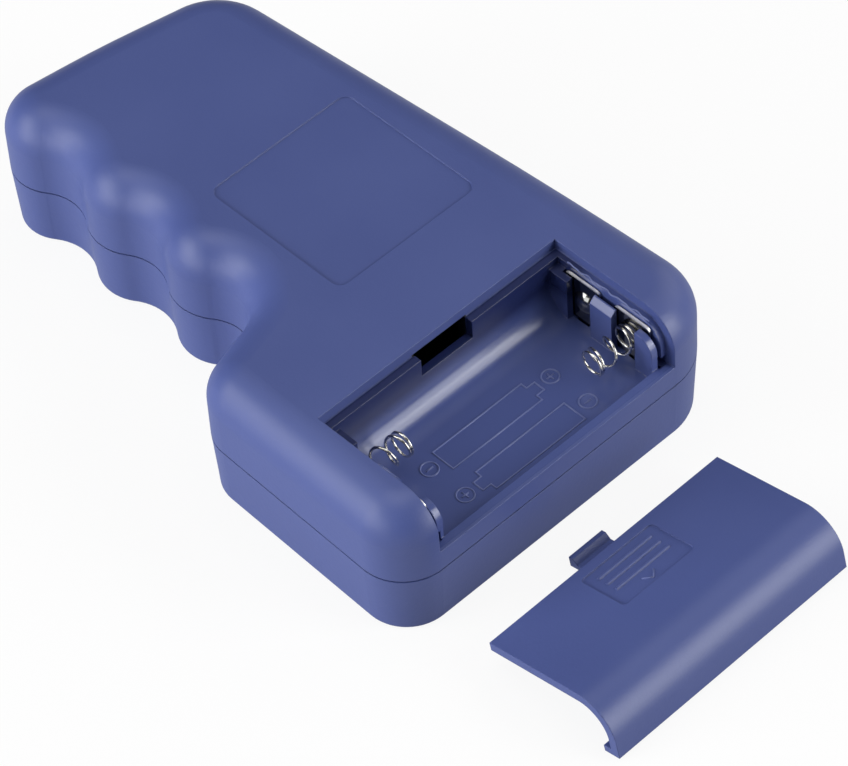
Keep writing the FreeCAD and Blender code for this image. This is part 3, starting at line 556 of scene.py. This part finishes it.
def ridge(path, closed, width, height, along, across, normal, origin):
    """Low half-round ridge: at each path point (u, v) a half ellipse, width across and height upwards.

    A corner's offset is mitred: the sum of its two side normals over one plus their dot product.
    """
    path = np.asarray(path, float)
    ahead = np.roll(path, -1, axis=0) - path
    if not closed:
        ahead[-1] = ahead[-2]
    ahead /= np.linalg.norm(ahead, axis=1, keepdims=True)
    behind = np.roll(ahead, 1, axis=0)
    if not closed:
        behind[0] = ahead[0]
    left = np.stack([-ahead[:, 1], ahead[:, 0]], axis=1)
    left_behind = np.stack([-behind[:, 1], behind[:, 0]], axis=1)
    mitre = (left + left_behind) / (1.0 + np.sum(left * left_behind, axis=1, keepdims=True))
    turn = np.linspace(0.0, math.pi, ridge_points)
    sideways = np.concatenate([np.cos(turn), [-1.0, 1.0]]) * width / 2
    upwards = np.concatenate([np.sin(turn) * height, [-mark_sink, -mark_sink]])
    flat = path[:, None, :] + mitre[:, None, :] * sideways[None, :, None]
    rise = np.broadcast_to(upwards[None, :, None], flat.shape[:2] + (1,))
    axes = np.array([along, across, normal], float)
    return np.concatenate([flat, rise], axis=2) @ axes + np.asarray(origin, float), closed


def floor_ridge(path, closed):
    """Ridge of the bay floor's marks."""
    return ridge(path, closed, mark_width, mark_height, *level, (0, 0, bay_floor_z))


def cell_outline(start, way):
    """Outline of a cell from the middle of its flat end: a long block and a short nub at the far end."""
    body, nub = cell_length, cell_length + nub_length
    half, nub_half = cell_width / 2, nub_width / 2
    shape = np.array([(0, -half), (body, -half), (body, -nub_half), (nub, -nub_half),
                      (nub, nub_half), (body, nub_half), (body, half), (0, half)])
    return np.asarray(start) + way * shape


def ring_path(place, radius):
    """Points round a circle."""
    turn = np.linspace(0.0, 2 * math.pi, ring_points, endpoint=False)
    return np.asarray(place) + radius * np.stack([np.cos(turn), np.sin(turn)], axis=1)


def stroke(place, direction):
    """Short straight bar through a place."""
    reach = sign_stroke * np.asarray(direction, float)
    return np.stack([np.asarray(place) - reach, np.asarray(place) + reach])


def build_bay_marks():
    """Cell outlines and polarity signs that stand a little proud of the bay floor."""
    grids = [floor_ridge(cell_outline(start, way), True) for start, way in cell_marks]
    for place in minus_places + plus_places:
        grids.append(floor_ridge(ring_path(place, sign_radius), True))
        grids.append(floor_ridge(stroke(place, (1, 0)), False))
    for place in plus_places:
        grids.append(floor_ridge(stroke(place, (0, 1)), False))
    add_piece("bay_marks", grids, "blue_abs", "housing", "painted_highlight_blue")


def build_door_arrow():
    """Arrowhead of two fine strokes on the door's pad, which points to the skirt."""
    normal = np.array(pad_normal)
    across = np.cross(normal, pad_along)
    grids = []
    for side in (-1, 1):
        path = np.array([(0.0, 0.0), (side * arrow_arm, arrow_arm)])
        grids.append(ridge(path, False, arrow_width, mark_height, pad_along, across, normal, arrow_tip))
    add_piece("door_arrow", grids, "blue_abs", "battery_door", "painted_highlight_blue")


def build_moulding_flash():
    """Thin wavy burr on the rim behind the plates: a straight line that sways by two sines."""
    share = np.linspace(0.0, 1.0, flash_points)
    y = flash_y[0] + share * (flash_y[1] - flash_y[0])
    ripple = np.sin(share * flash_ripple + flash_ripple_start)
    sway = np.sin(share * flash_wave) + flash_ripple_share * ripple
    path = np.stack([flash_x + flash_sway * sway, y], axis=1)
    grid = ridge(path, False, flash_width, mark_height, *level, (0, 0, ledge_z))
    add_piece("moulding_flash", [grid], "blue_abs", "housing", "painted_highlight_blue")


def build_spring(node, base_side):
    """Coil spring in place of its plain solid: a wire circle carried along a helix of changing pitch.

    The helix rises about one wire a turn. Its open turns share the rest of the length, half of it evenly
    and half eased in and out. base_side is 1 where the plate is at the +X end, and -1 at the other.
    """
    low, high = (np.array(corner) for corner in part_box(node))
    middle = (low + high) / 2
    radius = (high[1] - low[1] - spring_wire) / 2
    length = high[0] - low[0] - spring_wire
    turns = spring_turns_base + spring_turns_open + spring_turns_tip
    turn = np.linspace(0.0, turns, int(turns * spring_steps))
    opened = np.clip((turn - spring_turns_base) / spring_turns_open, 0.0, 1.0)
    opened = (opened + opened * opened * (3 - 2 * opened)) / 2
    rise = spring_closed_pitch * turn + (length - spring_closed_pitch * turns) * opened
    angle = 2 * math.pi * turn
    base_x = high[0] - spring_wire / 2 if base_side > 0 else low[0] + spring_wire / 2
    outward = np.stack([np.zeros_like(angle), np.cos(angle), np.sin(angle)], axis=1)
    line = np.array([base_x, middle[1], middle[2]]) + radius * outward
    line[:, 0] -= base_side * rise
    tangent = np.gradient(line, axis=0)
    tangent /= np.linalg.norm(tangent, axis=1, keepdims=True)
    side = np.cross(tangent, outward)
    section = np.linspace(0.0, 2 * math.pi, spring_sides, endpoint=False)[None, :, None]
    tube = outward[:, None, :] * np.cos(section) + side[:, None, :] * np.sin(section)
    wire = line[:, None, :] + tube * spring_wire / 2
    spring = add_piece(node + "_coil", [(wire, False)], "spring_wire", node)
    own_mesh(spring)
    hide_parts(node)


build_bay_marks()
build_door_arrow()
build_moulding_flash()
build_spring("negative_spring", 1)
build_spring("bridge_spring", -1)


# Studio: lamps by name, place, size and watts, and those that reflections leave out

lamps = (
    ("left_lamp", (-1.00, 0.10, 0.22), (0.8, 0.8), 4.8),
    ("left_low_lamp", (-0.95, 0.45, 0.15), (0.5, 0.5), 9.6),
    ("left_back_lamp", (-0.80, 0.50, 0.68), (0.6, 0.6), 4.6),
    ("top_lamp", (0.00, 0.10, 1.10), (0.8, 0.8), 3.8),
    ("right_lamp", (0.95, 0.00, 0.55), (0.9, 0.9), 3.1),
    ("right_front_lamp", (0.46, -0.72, 0.52), (0.4, 0.4), 3.2),
    ("front_low_lamp", (0.42, -0.90, 0.20), (0.7, 0.5), 5.2),
    ("under_lamp", (0.00, -0.01, -1.00), (0.25, 0.25), 4.0),
)
dull_lamps = ("left_low_lamp", "under_lamp")
world_strength = 0.06

# Floor: the share of its glow to the eye and in reflections, and the paper below the glow
floor_share = 0.8
floor_glow = 1.12
floor_mirrored = 0.25
floor_tone = (0.42, 0.42, 0.42)
floor_rough = 0.9
floor_reach = 3.0
floor_drop = 0.05 * MM


def soft_box(name, place, size, energy):
    """Rectangular area lamp that looks at the middle of the object."""
    data = bpy.data.lights.new(name, "AREA")
    data.shape = "RECTANGLE"
    data.size, data.size_y = size
    data.energy = energy
    lamp = bpy.data.objects.new(name, data)
    lamp.location = place
    lamp.rotation_euler = (-Vector(place)).to_track_quat("-Z", "Y").to_euler()
    lamp.visible_glossy = name not in dull_lamps
    bpy.context.scene.collection.objects.link(lamp)


def floor_paper():
    """Pale paper that shows white and keeps the shadow.

    A view from below and the light of the lamp there pass through it to the object.
    """
    material, tree, paper = make_material("floor_paper")
    set_inputs(paper, Base_Color=(*floor_tone, 1.0), Roughness=floor_rough)
    glow = set_inputs(add_node(tree, "ShaderNodeEmission"), Strength=floor_glow)
    rays = add_node(tree, "ShaderNodeLightPath")
    mirrored = arithmetic(tree, "MULTIPLY", rays.outputs["Is Glossy Ray"], floor_mirrored)
    seen = arithmetic(tree, "MAXIMUM", rays.outputs["Is Camera Ray"], mirrored)
    seen = arithmetic(tree, "MAXIMUM", seen, rays.outputs["Is Transmission Ray"])
    mix = add_node(tree, "ShaderNodeMixShader")
    tree.links.new(arithmetic(tree, "MULTIPLY", seen, floor_share), mix.inputs["Fac"])
    tree.links.new(paper.outputs["BSDF"], mix.inputs[1])
    tree.links.new(glow.outputs["Emission"], mix.inputs[2])
    below = add_node(tree, "ShaderNodeNewGeometry").outputs["Backfacing"]
    hidden = arithmetic(tree, "MULTIPLY", below, rays.outputs["Is Camera Ray"])
    hidden = arithmetic(tree, "MAXIMUM", hidden, rays.outputs["Is Shadow Ray"])
    clear = add_node(tree, "ShaderNodeBsdfTransparent")
    open_below = add_node(tree, "ShaderNodeMixShader")
    tree.links.new(hidden, open_below.inputs["Fac"])
    tree.links.new(mix.outputs["Shader"], open_below.inputs[1])
    tree.links.new(clear.outputs["BSDF"], open_below.inputs[2])
    tree.links.new(open_below.outputs["Shader"], tree.nodes["Material Output"].inputs["Surface"])
    return material


def build_stage():
    """Pale floor, soft surroundings and large soft lamps."""
    scene = bpy.context.scene
    scene.view_settings.view_transform = "Standard"
    world = bpy.data.worlds.new("studio")
    scene.world = world
    world.use_nodes = True
    set_inputs(world.node_tree.nodes["Background"], Color=(1.0, 1.0, 1.0, 1.0), Strength=world_strength)
    corners = floor_reach * np.array([(-1, -1, 0), (1, -1, 0), (1, 1, 0), (-1, 1, 0)])
    corners = corners - (0, 0, floor_drop)
    mesh = bpy.data.meshes.new("floor")
    mesh.from_pydata(corners.tolist(), [], [(0, 1, 2, 3)])
    mesh.materials.append(floor_paper())
    floor = bpy.data.objects.new("floor", mesh)
    scene.collection.objects.link(floor)
    for lamp in lamps:
        soft_box(*lamp)


def build_camera():
    """Camera of the photograph, turned a little about its own axis."""
    data = bpy.data.cameras.new("photo_camera")
    data.lens = camera_lens
    data.sensor_width = camera_sensor
    camera = bpy.data.objects.new("photo_camera", data)
    look = (Vector(camera_aim) - Vector(camera_place)).to_track_quat("-Z", "Y")
    roll = Quaternion((0, 0, 1), math.radians(camera_roll_deg))
    camera.location = camera_place
    camera.rotation_mode = "QUATERNION"
    camera.rotation_quaternion = look @ roll
    bpy.context.scene.collection.objects.link(camera)
    bpy.context.scene.camera = camera


build_stage()
build_camera()
